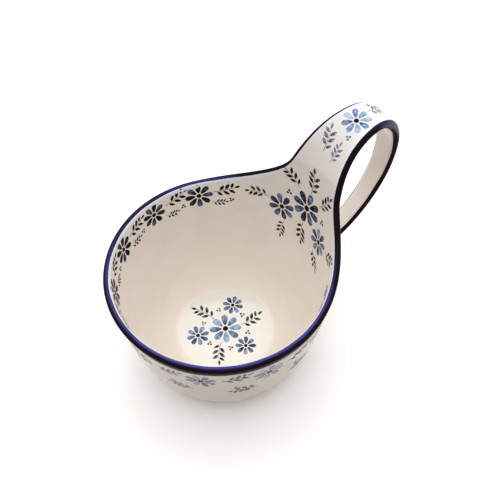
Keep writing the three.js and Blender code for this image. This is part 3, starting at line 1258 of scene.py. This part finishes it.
@dataclass(frozen=True)
class UnderglazePaint(Finish):
    """Cobalt washes and a dark ink, painted on the bare clay and seen through the clear glaze.

    Petals dry like watercolour, pale in the middle and darker where the brush was lifted; leaves are a
    greyer green-black. Thin washes are as glossy as the glaze beside them, and dense ink fires dry.
    """

    title = "underglaze_paint"
    petal: tuple[tuple[float, str], ...] = (
        (0.0, "#C3CDDF"), (0.35, "#86A2C6"), (0.6, "#486A96"), (0.8, "#343F55"), (1.0, "#15121E"),
    )
    leaf: tuple[tuple[float, str], ...] = (
        (0.0, "#B4BCCB"), (0.4, "#7C8796"), (0.7, "#3F4854"), (1.0, "#17151C"),
    )
    bloom_size: float = 1.8
    bloom_range: tuple[float, float] = (0.3, 0.7)
    bloom_gain: float = 0.22
    dense_from: float = 0.35  # tone above which the ink fires dry
    roughness: float = 0.13
    dry: float = 0.02  # level of the reflections where the ink is dense
    gloss: float = 0.45  # and where it is a thin wash
    ior: float = 1.5

    def shade(self, tree: bpy.types.NodeTree) -> dict[str, object]:
        """Adds the washes' tones, which bloom a little.

        Args:
            tree: The material's nodes.

        Returns:
            What goes to the shader's sockets.
        """
        at = add_node(tree, "TexCoord").outputs["Object"]
        ink, green = (
            add_node(tree, "Attribute", attribute_name=name).outputs["Fac"] for name in ("ink", "leaf")
        )
        bloom = add_node(tree, "TexNoise", {"Vector": at, "Scale": per_mm(self.bloom_size), "Detail": 2.0})
        low, high = self.bloom_range
        gain = self.bloom_gain
        shift = add_node(
            tree, "MapRange",
            {"Value": bloom, "From Min": low, "From Max": high, "To Min": -gain, "To Max": gain},
        )
        tone = add_node(tree, "Math", {0: ink, 1: shift}, operation="ADD", use_clamp=True)
        washes = []
        for stops in (self.petal, self.leaf):
            wash = add_node(tree, "ValToRGB", {"Fac": tone})
            ramp = wash.color_ramp.elements
            while len(ramp) < len(stops):
                ramp.new(0.5)
            for element, (place, tint) in zip(ramp, stops):
                element.position = place
                element.color = linear(tint)
            washes.append(wash)
        petal, leaf = washes
        colour = add_node(tree, "Mix", {"Factor": green, "A": petal, "B": leaf}, data_type="RGBA")
        shine = add_node(
            tree, "MapRange",
            {"Value": tone, "From Min": self.dense_from, "To Min": self.gloss, "To Max": self.dry},
        )
        return {
            "Base Color": colour,
            "Roughness": self.roughness,
            "Specular IOR Level": shine,
            "IOR": self.ior,
        }


@dataclass(frozen=True)
class BareClay(Finish):
    """Fired stoneware left unglazed and wiped smooth: a dry buff with darker grit and a fine tooth."""

    title = "bare_stoneware"
    body: str = "#DCC8AB"
    grit: str = "#B3987A"
    grit_size: float = 0.9
    grit_range: tuple[float, float] = (0.5, 0.75)
    tooth: float = 0.4
    tooth_depth: float = 0.04
    roughness: float = 0.85

    def shade(self, tree: bpy.types.NodeTree) -> dict[str, object]:
        """Adds grit and tooth.

        Args:
            tree: The material's nodes.

        Returns:
            What goes to the shader's sockets.
        """
        at = add_node(tree, "TexCoord").outputs["Object"]
        grains = add_node(tree, "TexNoise", {"Vector": at, "Scale": per_mm(self.grit_size), "Detail": 4.0})
        low, high = self.grit_range
        share = add_node(tree, "MapRange", {"Value": grains, "From Min": low, "From Max": high})
        colour = add_node(tree, "Mix", {"Factor": share, "A": self.body, "B": self.grit}, data_type="RGBA")
        tooth = add_node(tree, "TexNoise", {"Vector": at, "Scale": per_mm(self.tooth), "Detail": 2.0})
        bump = add_node(tree, "Bump", {"Height": tooth, "Distance": self.tooth_depth * MM, "Strength": 1.0})
        return {"Base Color": colour, "Roughness": self.roughness, "Normal": bump}


class Motif(Enum):
    """The motifs of the folk pattern."""

    DAISY = "daisy"
    TWIG = "twig"
    BERRIES = "berries"


@dataclass(frozen=True)
class Stamp:
    """One motif of a painting: where it lies on its canvas, its turn in degrees and its size."""

    motif: Motif
    u: float
    v: float
    turn: float = 0.0
    size: float = 1.0

    def across(self) -> "Stamp":
        """Returns the stamp on the other side of the middle, where a twig points the other way."""
        turn = 180.0 - self.turn if self.motif is Motif.TWIG else self.turn
        return replace(self, u=-self.u, turn=turn)


@dataclass(frozen=True)
class MotifModels:
    """Flat models of the motifs, each at the origin, with the tone of the ink on their points."""

    petals: int = 8
    petal_length: float = 6.0
    petal_width: float = 3.6
    petal_fill: float = 1.25
    petal_opens: float = 0.6  # power with which a petal widens from its root
    petal_closes: float = 3.2  # and with which it rounds off at its tip
    wash_tone: float = 0.14  # of the palest ink on a petal
    root_tone: float = 0.34  # how much denser it is at the root
    fringe_tone: float = 0.16  # and along the sides
    turn_tone: float = 0.16  # and how much petals differ
    turn_step: float = 2.4  # radians of that from petal to petal
    heart: float = 1.35  # radius of a daisy's dark heart
    heart_gap: float = 0.35
    heart_tone: float = 1.2
    twig_length: float = 13.0
    twig_sweep: float = 26.0  # degrees that a twig bends over its length
    stem_width: float = 0.34
    stem_taper: float = 0.5
    stem_tone: float = 0.72
    leaf_length: float = 4.4
    leaf_width: float = 1.9
    leaf_power: float = 0.85
    leaf_taper: float = 0.3
    leaf_lean: float = 48.0
    leaf_pairs: int = 3
    leaf_from: float = 1.4  # steps between leaves that the stem is bare from its root
    leaf_past: float = 0.6  # and how many it has more than leaves
    leaf_gap: float = 0.45  # of a leaf's root from the stem
    leaf_sizes: tuple[float, float] = (0.8, 0.25)  # least size, and the gain in the middle of a twig
    leaf_tones: tuple[float, float] = (0.86, 0.44)  # at a leaf's root and at its tip
    berry: float = 0.85
    berry_spread: float = 1.45  # of the berries from the middle of their group, in radii
    berry_turns: tuple[float, ...] = (90.0, 210.0, 330.0)
    berry_green: float = 0.5  # how much of the leaves' ink is in theirs
    berry_tone: float = 0.5
    berry_shade: float = 0.35  # how much denser the ink is on one side
    dot_corners: int = 14
    grid: tuple[int, int] = (8, 4)
    least_width: float = 0.02  # share of a blade's width that is left at its ends

    def blade(self, length: float, width: float, swell: Callable[[float], float]) -> bpy.types.Object:
        """Models a flat petal or leaf that starts at the origin and points along +X.

        Args:
            length: Its length.
            width: Its greatest width.
            swell: Share of the width at a share of the length.

        Returns:
            The blade.
        """
        along, across = self.grid
        bpy.ops.object.select_all(action="DESELECT")
        bpy.ops.mesh.primitive_grid_add(
            x_subdivisions=along, y_subdivisions=across, size=1.0, calc_uvs=False, enter_editmode=True
        )
        piece = bpy.context.object
        flat = bmesh.from_edit_mesh(piece.data)
        for place in sorted({round(vertex.co.x, 4) for vertex in flat.verts}):
            bpy.ops.mesh.select_all(action="DESELECT")
            for vertex in flat.verts:
                vertex.select = round(vertex.co.x, 4) == place
            flat.select_flush(True)
            share = max(swell(place + 0.5), self.least_width)
            bpy.ops.transform.resize(value=(1.0, share, 1.0), center_override=(place, 0.0, 0.0))
        bpy.ops.mesh.select_all(action="SELECT")
        bpy.ops.transform.resize(value=(length, width, 1.0), center_override=(0.0, 0.0, 0.0))
        bpy.ops.transform.translate(value=(length / 2, 0.0, 0.0))
        bpy.ops.object.mode_set(mode="OBJECT")
        return piece

    def disc(self, radius: float) -> bpy.types.Object:
        """Models a flat dot at the origin.

        Args:
            radius: Its radius.

        Returns:
            The dot.
        """
        bpy.ops.object.select_all(action="DESELECT")
        bpy.ops.mesh.primitive_circle_add(
            vertices=self.dot_corners, radius=radius, fill_type="TRIFAN", calc_uvs=False
        )
        return bpy.context.object

    def tint(self, piece: bpy.types.Object, leaf: float, tone: Callable[[Vector], float]) -> None:
        """Keeps the ink on each point of a piece.

        Args:
            piece: The piece.
            leaf: How green its ink is.
            tone: How dense it is at a point.
        """
        points = piece.data.vertices
        for name, values in (("ink", [tone(v.co) for v in points]), ("leaf", [leaf] * len(points))):
            layer = piece.data.attributes.new(name, "FLOAT", "POINT")
            layer.data.foreach_set("value", values)

    def petal_swell(self, share: float) -> float:
        """Returns the share of a petal's width at a share of its length."""
        closing = math.sqrt(max(1.0 - share**self.petal_closes, 0.0))
        return self.petal_fill * share**self.petal_opens * closing

    def petal_tone(self, at: Vector) -> float:
        """Finds how dense the ink is on a daisy's petals.

        Args:
            at: A point of a petal.

        Returns:
            The tone there.
        """
        turn = 2 * math.pi / self.petals
        number = round(math.atan2(at.y, at.x) / turn)
        share = (at.length - self.heart - self.heart_gap) / self.petal_length
        side = math.atan2(at.y, at.x) - number * turn
        fringe = min(abs(side) * at.length / (self.petal_width / 2), 1.0)
        tone = self.wash_tone + self.root_tone * (1.0 - share) ** 2 + self.fringe_tone * fringe**3
        return tone + self.turn_tone * (1.0 + math.sin(self.turn_step * number))

    def daisy(self) -> bpy.types.Object:
        """Models a daisy: one petal, spun round a dark heart.

        Returns:
            The daisy.
        """
        petal = self.blade(self.petal_length, self.petal_width, self.petal_swell)
        petal.data.transform(Matrix.Translation((self.heart + self.heart_gap, 0.0, 0.0)))
        bpy.ops.object.mode_set(mode="EDIT")
        bpy.ops.mesh.select_all(action="SELECT")
        turn = 2 * math.pi * (self.petals - 1) / self.petals
        bpy.ops.mesh.spin(steps=self.petals - 1, angle=turn, dupli=True, center=(0, 0, 0), axis=UP)
        bpy.ops.object.mode_set(mode="OBJECT")
        self.tint(petal, 0.0, self.petal_tone)
        heart = self.disc(self.heart)
        self.tint(heart, 0.0, lambda at: self.heart_tone)
        return joined(Motif.DAISY.value, [petal, heart])

    def twig_place(self, along: float) -> tuple[Vector, float]:
        """Finds a place on a twig's bent stem.

        Args:
            along: Distance along it.

        Returns:
            The point, and the turn of the stem there.
        """
        bend = math.radians(self.twig_sweep) / self.twig_length
        turn = bend * along
        return Vector((math.sin(turn) / bend, (1.0 - math.cos(turn)) / bend, 0.0)), turn

    def leaf_swell(self, share: float) -> float:
        """Returns the share of a leaf's width at a share of its length."""
        belly = (4.0 * share * (1.0 - share)) ** self.leaf_power
        return belly * (1.0 + self.leaf_taper * (0.5 - share))

    def twig(self) -> bpy.types.Object:
        """Models a twig: a bent stem with pointed leaves by turns on either side, and one at its end.

        Returns:
            The twig.
        """
        stem = self.blade(self.twig_length, self.stem_width, lambda share: 1.0 - self.stem_taper * share)
        for vertex in stem.data.vertices:
            at, turn = self.twig_place(vertex.co.x)
            vertex.co = at + Vector((-math.sin(turn), math.cos(turn), 0.0)) * vertex.co.y
        self.tint(stem, 1.0, lambda at: self.stem_tone)
        leaf = self.blade(self.leaf_length, self.leaf_width, self.leaf_swell)
        self.tint(leaf, 1.0, lambda at: mix(*self.leaf_tones, at.x / self.leaf_length))
        least, gain = self.leaf_sizes
        parts = [stem]
        count = 2 * self.leaf_pairs + 1
        for number in range(count):
            last = number == count - 1
            share = 1.0 if last else (number + self.leaf_from) / (count + self.leaf_past)
            at, turn = self.twig_place(self.twig_length * share)
            lean = 0.0 if last else math.radians(self.leaf_lean) * (1 if number % 2 else -1)
            away = Vector((0.0, 0.0 if last else math.copysign(self.leaf_gap, lean), 0.0))
            size = least + gain * math.sin(math.pi * (number + 1) / count)
            place = Matrix.Translation(at) @ Matrix.Rotation(turn, 4, "Z") @ Matrix.Translation(away)
            parts.append(moved_copy(leaf, place @ Matrix.Rotation(lean, 4, "Z") @ Matrix.Scale(size, 4)))
        bpy.data.objects.remove(leaf)
        return joined(Motif.TWIG.value, parts)

    def berries(self) -> bpy.types.Object:
        """Models three berries in a close group.

        Returns:
            The group.
        """
        berry = self.disc(self.berry)
        self.tint(berry, self.berry_green, lambda at: self.berry_tone + self.berry_shade * at.x / self.berry)
        turns = (math.radians(turn) for turn in self.berry_turns)
        spots = [Vector((math.cos(t), math.sin(t), 0.0)) * self.berry * self.berry_spread for t in turns]
        parts = [moved_copy(berry, Matrix.Translation(spot)) for spot in spots]
        bpy.data.objects.remove(berry)
        return joined(Motif.BERRIES.value, parts)

    def build(self) -> dict[Motif, bpy.types.Object]:
        """Returns the models, which are there to be copied."""
        return {Motif.DAISY: self.daisy(), Motif.TWIG: self.twig(), Motif.BERRIES: self.berries()}


@dataclass(frozen=True)
class FolkPattern:
    """Daisies, twigs and berries: a garland under the lip, a wreath on the floor, sprays on the handle."""

    bowl: Bowl
    handle: LoopHandle
    garland_drop: float = 9.0  # of the garland's middle below the lip
    garland_step: float = 29.0
    garland_daisies: int = 4  # on either side of the one in front
    wreath_turn: float = 38.0
    wreath_arms: int = 3
    outer_drop: float = 18.0
    outer_step: float = 37.0
    outer_daisies: int = 4
    turn_drift: float = 5.0  # degrees that the hand is off
    size_drift: tuple[float, float] = (0.94, 1.06)
    tone_drift: tuple[float, float] = (-0.1, 0.14)
    lift: float = 0.05  # of the paint over the clay
    depth: float = 0.12  # of the paint's film
    seed: int = 7

    def paint(
        self,
        name: str,
        models: dict[Motif, bpy.types.Object],
        canvas: Canvas,
        stamps: Sequence[Stamp],
        tone: float,
    ) -> bpy.types.Object:
        """Lays motifs flat, wraps them on a canvas and gives them the thickness of a film of paint.

        Args:
            name: Name of the painting.
            models: The models of the motifs.
            canvas: The surface that it is on.
            stamps: Its motifs.
            tone: How much darker than its model each motif is painted, partly to paint the shade and light
                where the painting lies.

        Returns:
            The painting.
        """
        hand = random.Random(f"{self.seed}{name}")
        parts = []
        for stamp in stamps:
            turn = math.radians(stamp.turn + hand.uniform(-self.turn_drift, self.turn_drift))
            size = stamp.size * hand.uniform(*self.size_drift)
            place = Matrix.Translation((stamp.u, stamp.v, 0.0)) @ Matrix.Rotation(turn, 4, "Z")
            part = moved_copy(models[stamp.motif], place @ Matrix.Scale(size, 4))
            gain = tone + hand.uniform(*self.tone_drift)
            for value in part.data.attributes["ink"].data:
                value.value += gain
            parts.append(part)
        painting = joined(name, parts)
        for vertex in painting.data.vertices:
            point, normal = canvas(vertex.co.x, vertex.co.y)
            vertex.co = in_frame(point + normal * self.lift)
        film = painting.modifiers.new("film", "SOLIDIFY")
        film.thickness = self.depth * MM
        film.offset = -1.0
        bpy.ops.object.modifier_apply(modifier=film.name)
        bpy.ops.object.shade_smooth_by_angle(angle=SMOOTH_UNDER)
        return painting

    def garland(self) -> list[Stamp]:
        """Lays out the garland inside: daisies and twigs by turns, running both ways from the front.

        Returns:
            Its motifs.
        """
        step, most = self.garland_step, self.garland_daisies
        stamps = [Stamp(Motif.DAISY, n * step, 0.0, 11.0 * n, 1.05) for n in range(-most, most + 1)]
        for number in range(most + 1):
            u = (number + 0.5) * step
            between = [
                Stamp(Motif.TWIG, u - 6.0, 1.5, 4.0, 0.95),
                Stamp(Motif.TWIG, u - 7.0, -6.0, -16.0, 0.6),
                Stamp(Motif.BERRIES, u + 4.5, -4.6, 40.0 * number, 0.8),
            ]
            stamps += between + [stamp.across() for stamp in between]
        return stamps

    def wreath(self) -> list[Stamp]:
        """Lays out the wreath on the floor: a daisy, with daisies and twigs by turns round it.

        Returns:
            Its motifs.
        """
        arm = (  # motif, reach from the middle, turn from the daisy, and size
            (Motif.DAISY, 16.8, 0.0, 0.85),
            (Motif.TWIG, 9.6, 60.0, 0.95),
            (Motif.BERRIES, 13.5, 32.0, 0.8),
            (Motif.BERRIES, 13.5, 88.0, 0.8),
        )
        stamps = [Stamp(Motif.DAISY, 0.0, 0.0, 10.0, 1.2)]
        for number in range(self.wreath_arms):
            for motif, reach, lead, size in arm:
                turn = 360.0 / self.wreath_arms * number + self.wreath_turn + lead
                way = math.radians(turn)
                stamps.append(Stamp(motif, reach * math.cos(way), reach * math.sin(way), turn, size))
        return stamps

    def throat_spray(self) -> list[Stamp]:
        """Lays out the spray in the throat: three daisies with twigs that rise and hang.

        Returns:
            Its motifs, alike on both sides.
        """
        middle = [
            Stamp(Motif.DAISY, 0.0, 3.0, 0.0, 1.35),
            Stamp(Motif.TWIG, 0.0, 14.0, 82.0, 1.0),
            Stamp(Motif.TWIG, 0.0, -8.5, -98.0, 1.0),
        ]
        side = [
            Stamp(Motif.DAISY, 17.0, -8.0, 20.0, 1.15),
            Stamp(Motif.TWIG, 8.0, 12.0, 46.0, 0.9),
            Stamp(Motif.TWIG, 26.5, -5.0, 12.0, 0.95),
            Stamp(Motif.TWIG, 14.0, -18.0, -66.0, 0.9),
            Stamp(Motif.BERRIES, 14.0, 5.0, 15.0, 0.9),
        ]
        return middle + side + [stamp.across() for stamp in side]

    def strap_spray(self) -> list[Stamp]:
        """Lays out the spray along the strap, which goes over the crest and down the back.

        Returns:
            Its motifs.
        """
        return [
            Stamp(Motif.TWIG, 14.0, 3.0, 8.0, 0.95),
            Stamp(Motif.TWIG, 12.0, -4.0, -14.0, 0.8),
            Stamp(Motif.DAISY, 38.5, 0.0, 10.0, 1.05),
            Stamp(Motif.BERRIES, 28.5, -4.5, 0.0, 0.8),
            Stamp(Motif.TWIG, 48.0, 1.5, -10.0, 0.95),
            Stamp(Motif.BERRIES, 52.0, 5.5, 20.0, 0.7),
            Stamp(Motif.DAISY, 74.0, 0.0, 30.0, 0.8),
            Stamp(Motif.TWIG, 82.0, 0.5, -6.0, 0.8),
        ]

    def outer_band(self) -> list[Stamp]:
        """Lays out the band outside: daisies and twigs by turns in two staggered rows.

        Returns:
            Its motifs.
        """
        stamps = []
        for number in range(-self.outer_daisies, self.outer_daisies + 1):
            u = number * self.outer_step
            stamps += [
                Stamp(Motif.DAISY, u + 8.0, 0.0, 17.0 * number, 1.2),
                Stamp(Motif.TWIG, u - 18.0, 1.0, 6.0, 1.1),
                Stamp(Motif.TWIG, u + 2.0, -17.0, 170.0 if number >= 0 else 10.0, 1.05),
                Stamp(Motif.BERRIES, u - 10.0, -12.0, 30.0, 1.0),
            ]
        return stamps

    def build(self, underglaze: bpy.types.Material) -> None:
        """Models the motifs, paints every place and dresses the paintings.

        Args:
            underglaze: The paintings' material.
        """
        models = MotifModels().build()
        inside, outside = self.bowl.inside.lay, self.bowl.outside.lay
        # The tone of each painting also paints light and shade: the garland and the throat darker, in the
        # shade inside the bowl, and the strap paler, in the light on its top.
        places = (  # name, canvas, motifs and tone
            ("painted_garland", partial(inside, math.pi, self.garland_drop), self.garland(), 0.6),
            ("painted_wreath", self.bowl.lay_floor, self.wreath(), 0.12),
            ("painted_throat", partial(inside, 0.0, 0.0), self.throat_spray(), 0.28),
            ("painted_strap", self.handle.surface, self.strap_spray(), -0.14),
            ("painted_outside", partial(outside, math.pi, self.outer_drop), self.outer_band(), 0.06),
        )
        for name, *rest in places:
            dress(self.paint(name, models, *rest), underglaze, "cobalt_glaze")
        for model in models.values():
            bpy.data.objects.remove(model)


@dataclass(frozen=True)
class Studio:
    """A pale floor, soft light from above, and the camera."""

    bowl: Bowl
    elevation: float = 54.95  # degrees, of the line of sight
    bearing: float = 35.47  # degrees that the line of sight is turned from +Y towards the handle
    roll: float = 2.776
    distance: float = 571.8
    focal_pixels: float = 1054.3
    image_width: float = 500.0  # in pixels
    offset: tuple[float, float] = (-16.294, -9.718)  # of the middle of the lip from the line of sight
    sensor: float = 36.0
    clip_start: float = 0.01
    floor_size: float = 6.0
    floor_colour: str = "#C3B7AC"
    floor_seen: float = 1.2  # how bright the lit floor is to the eye, over white
    sky: str = "#FFFFFF"
    sky_bright: float = 1.58  # strength of the sky where it is brightest
    sky_ends: float = -0.08  # cosine of the angle from there at which it is dark
    sky_turn: float = -6.0  # degrees to the left of the line of sight at which it is brightest
    sky_lift: float = 72.0  # degrees that it stands above the horizon
    lamp_size: float = 0.42
    lamp_distance: float = 0.9
    lamp_elevation: float = 55.0
    lamp_power: float = 0.9

    def camera(self) -> None:
        """Makes the camera and looks through it."""
        up, turn = math.radians(self.elevation), math.radians(self.bearing)
        right = Vector((math.cos(turn), -math.sin(turn), 0.0))
        away = Vector((math.sin(turn), math.cos(turn), 0.0))
        sight = away * math.cos(up) - UP * math.sin(up)
        top = away * math.sin(up) + UP * math.cos(up)
        roll = math.radians(self.roll)
        side = right * math.cos(roll) - top * math.sin(roll)
        head = right * math.sin(roll) + top * math.cos(roll)
        target = Vector((0.0, 0.0, self.bowl.rim_height))
        place = target - sight * self.distance - side * self.offset[0] - head * self.offset[1]
        turned = Matrix((side, head, -sight)).transposed().to_4x4()
        bpy.ops.object.camera_add()
        camera = bpy.context.object
        camera.matrix_world = Matrix.Translation(in_frame(place)) @ turned
        camera.data.sensor_width = self.sensor
        camera.data.lens = self.focal_pixels / self.image_width * self.sensor
        camera.data.clip_start = self.clip_start
        bpy.context.scene.camera = camera

    @staticmethod
    def seen(tree: bpy.types.NodeTree) -> bpy.types.Node:
        """Adds the test of what the eye sees, straight, in a mirror or through glass.

        Args:
            tree: The nodes that it goes to.

        Returns:
            The node that gives 1 for such a ray, and 0 for light.
        """
        path = add_node(tree, "LightPath").outputs
        rays = {0: path["Is Camera Ray"], 1: path["Is Glossy Ray"]}
        direct = add_node(tree, "Math", rays, operation="ADD")
        rays = {0: direct, 1: path["Is Transmission Ray"]}
        return add_node(tree, "Math", rays, operation="ADD", use_clamp=True)

    def floor(self) -> None:
        """Lays the floor, which is over white to the eye, so that it stays white round the shadow."""
        bpy.ops.mesh.primitive_plane_add(size=self.floor_size)
        floor = bpy.context.object
        floor.name = "floor"
        material = blank_material("studio_floor")
        tree = material.node_tree
        over_white = (self.floor_seen, self.floor_seen, self.floor_seen, 1.0)
        shades = {"Factor": self.seen(tree), "A": self.floor_colour, "B": over_white}
        colour = add_node(tree, "Mix", shades, data_type="RGBA")
        matt = add_node(tree, "BsdfDiffuse", {"Color": colour})
        add_node(tree, "OutputMaterial", {"Surface": matt})
        floor.data.materials.append(material)

    @staticmethod
    def towards(bearing: float, lift: float) -> Vector:
        """Returns the way to a bearing from +Y and a height above the horizon, both in degrees."""
        turn, rise = math.radians(bearing), math.radians(lift)
        return Vector((math.sin(turn) * math.cos(rise), math.cos(turn) * math.cos(rise), math.sin(rise)))

    def light(self) -> None:
        """Lights the scoop from a white sky, brightest high behind it, and from a soft lamp there."""
        world = bpy.data.worlds.new("studio")
        bpy.context.scene.world = world
        world.use_nodes = True
        tree = world.node_tree
        tree.nodes.clear()
        bright = self.towards(self.bearing - self.sky_turn, self.sky_lift)
        ray = add_node(tree, "TexCoord").outputs["Generated"]
        facing = add_node(tree, "VectorMath", {0: ray, 1: bright}, operation="DOT_PRODUCT")
        strength = add_node(
            tree, "MapRange",
            {"Value": facing, "From Min": self.sky_ends, "To Min": 0.0, "To Max": self.sky_bright},
        )
        level = add_node(tree, "Mix", {"Factor": self.seen(tree), "A": strength, "B": 1.0})
        sky = add_node(tree, "Background", {"Color": self.sky, "Strength": level})
        add_node(tree, "OutputWorld", {"Surface": sky})
        place = AXIS + self.towards(self.bearing, self.lamp_elevation) * self.lamp_distance
        bpy.ops.object.light_add(type="AREA", location=place)
        lamp = bpy.context.object
        lamp.rotation_euler = place.to_track_quat("Z", "Y").to_euler()
        lamp.data.size = self.lamp_size
        lamp.data.energy = self.lamp_power

    def build(self) -> None:
        """Sets up the studio."""
        self.camera()
        self.floor()
        self.light()
        bpy.context.scene.view_settings.view_transform = "Standard"


def main() -> None:
    """Builds the studio and the scoop, and logs each piece as it is dressed."""
    logging.basicConfig(level=logging.INFO, format="%(name)s: %(message)s")
    bowl = Bowl()
    handle = LoopHandle(bowl)
    edge = ScoopEdge(bowl, handle)
    Studio(bowl).build()
    glaze = ClearGlaze().make()
    bowl.build(edge.throat_columns(), edge.rim_columns(), glaze)
    Foot().build(BareClay().make())
    handle.build(edge.strap, edge.clay_steps, glaze)
    edge.build(BrushedCobalt().make())
    FolkPattern(bowl, handle).build(UnderglazePaint().make())


if __name__ == "__main__":
    main()
